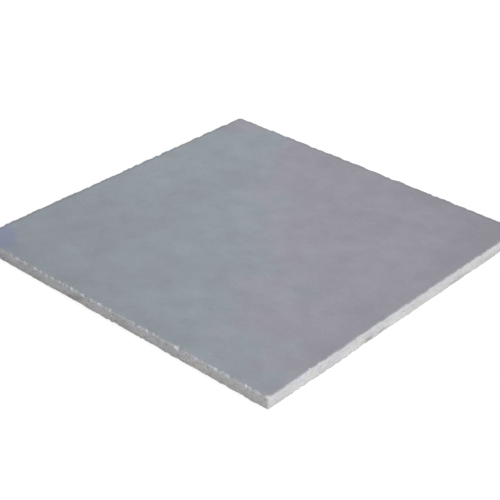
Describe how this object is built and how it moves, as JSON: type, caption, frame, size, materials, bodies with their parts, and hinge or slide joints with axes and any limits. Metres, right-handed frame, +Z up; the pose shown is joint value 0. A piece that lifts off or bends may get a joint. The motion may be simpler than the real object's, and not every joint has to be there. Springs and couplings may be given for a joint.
{
  "type": "cement-bonded particle board",
  "caption": "Flat square sheet of cement-bonded particle board, pressed in one piece and sawn on every side, for lining, cladding, flooring and tile backing.",
  "frame": {"origin": "middle of the underside, on the floor", "axes": "+Z up through the board's thickness, out of the top face; +X along its length and +Y along its width, both across the sawn edges"},
  "size_m": [0.6, 0.6, 0.02],
  "materials": {
    "cement_board": "matt pressed cement skin on both faces; sawn edges paler, with wood particles in cement"
  },
  "bodies": {
    "root": {"board": "cement_board"}
  },
  "joints": []
}
